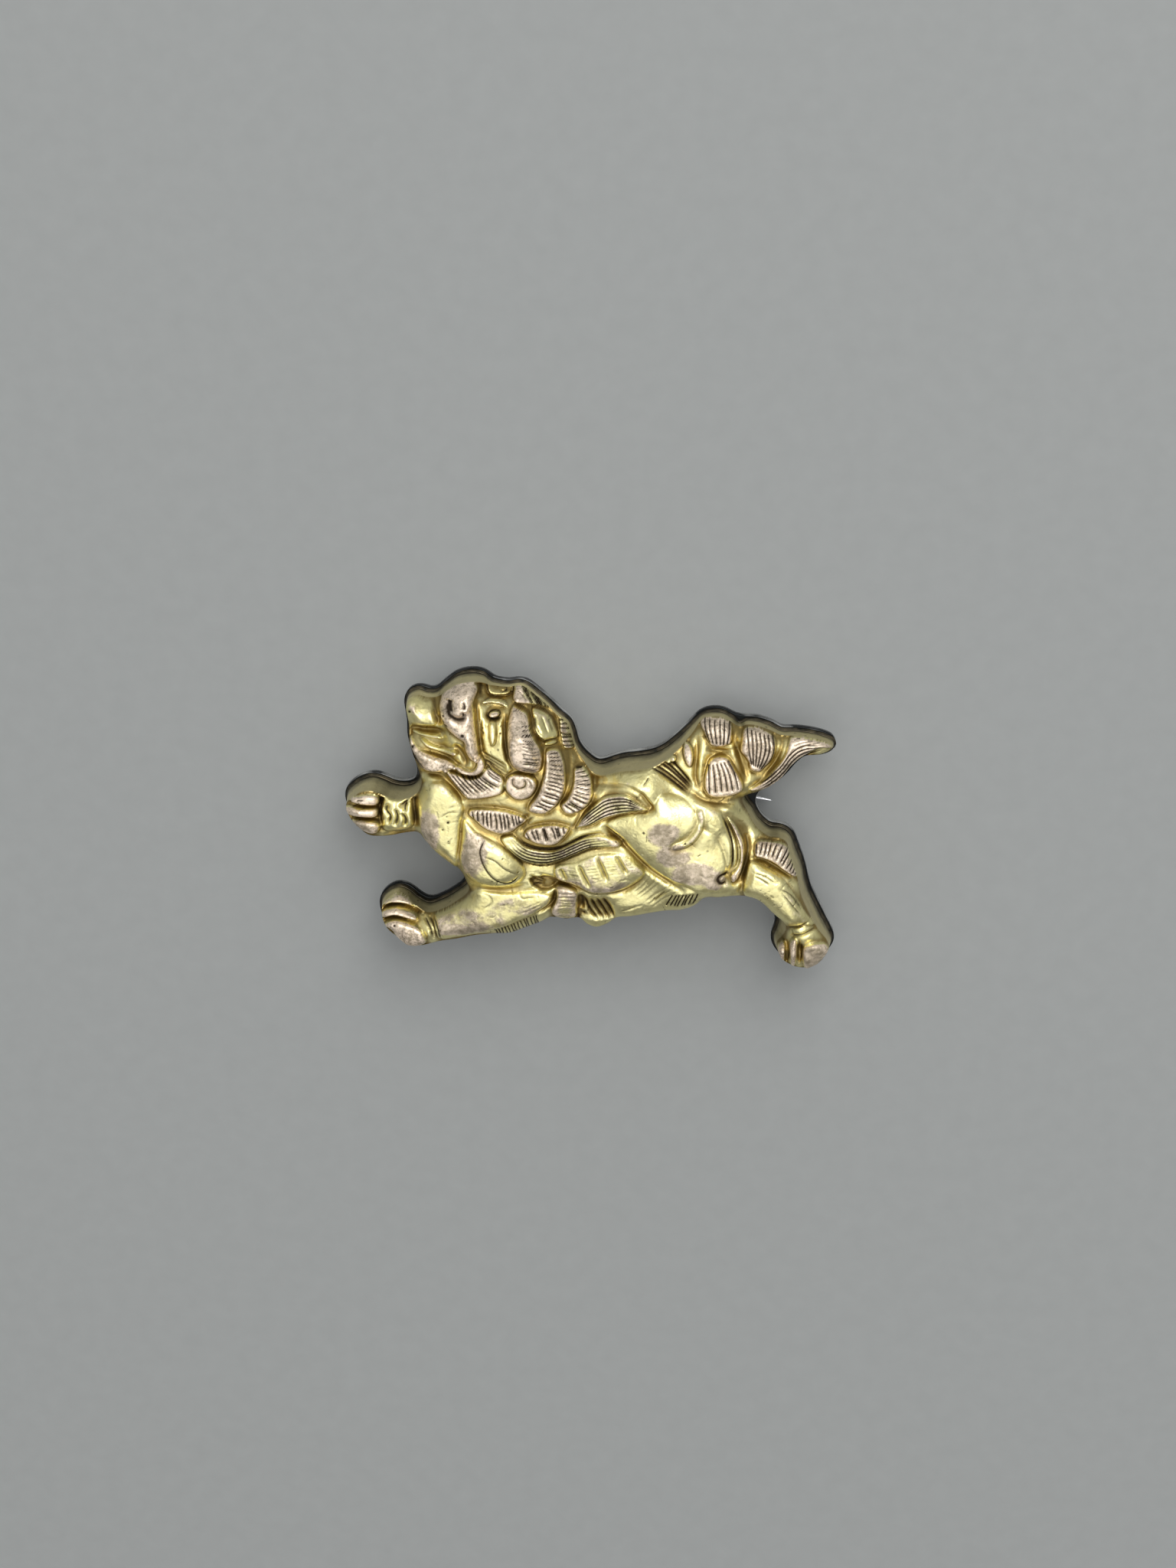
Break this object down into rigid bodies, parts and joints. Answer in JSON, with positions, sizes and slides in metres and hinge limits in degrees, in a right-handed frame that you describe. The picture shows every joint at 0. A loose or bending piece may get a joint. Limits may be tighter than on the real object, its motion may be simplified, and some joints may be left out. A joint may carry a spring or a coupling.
{
  "type": "lion-dog brooch",
  "caption": "Gilt embossed lion-dog brooch: hollow embossed front soldered to a flat back plate with a tube hinge, a hinged pin and a C catch.",
  "frame": {"origin": "under the middle of the whole brooch, on the plane that the hinge tubes and the catch touch when it lies face up", "axes": "+X towards the tail, +Y towards the animal's back, +Z out of the face"},
  "size_m": [0.036, 0.022, 0.0085],
  "materials": {
    "gilt": "worn gilding over silver, dark in the chased lines",
    "silver": "smooth silver, polished at the edge",
    "solder": "dull solder with a wash of gilding",
    "steel": "drawn wire, bright"
  },
  "bodies": {
    "brooch": {"lion_front": "gilt", "rim_solder": "solder", "back_plate": "silver", "hinge_bearer": "silver", "hinge_tube_upper": "silver", "hinge_tube_lower": "silver", "hinge_rivet": "steel", "catch_pad": "silver", "catch_hook": "silver"},
    "pin_eye": {"pin_eye": "steel"},
    "pin_wire": {"pin_wire": "steel"}
  },
  "joints": [
    {"name": "pin_swing", "type": "hinge", "parent": "brooch", "child": "pin_eye", "pos_m": [-0.00825, 0.00496, 0.0009], "axis": [0.1948, 0.9808, 0], "range_deg": [0, 100]},
    {"name": "pin_flex", "type": "hinge", "parent": "pin_eye", "child": "pin_wire", "pos_m": [-0.00732, 0.00477, 0.0009], "axis": [0, 0, -1], "range_deg": [0, 3.2]}
  ]
}
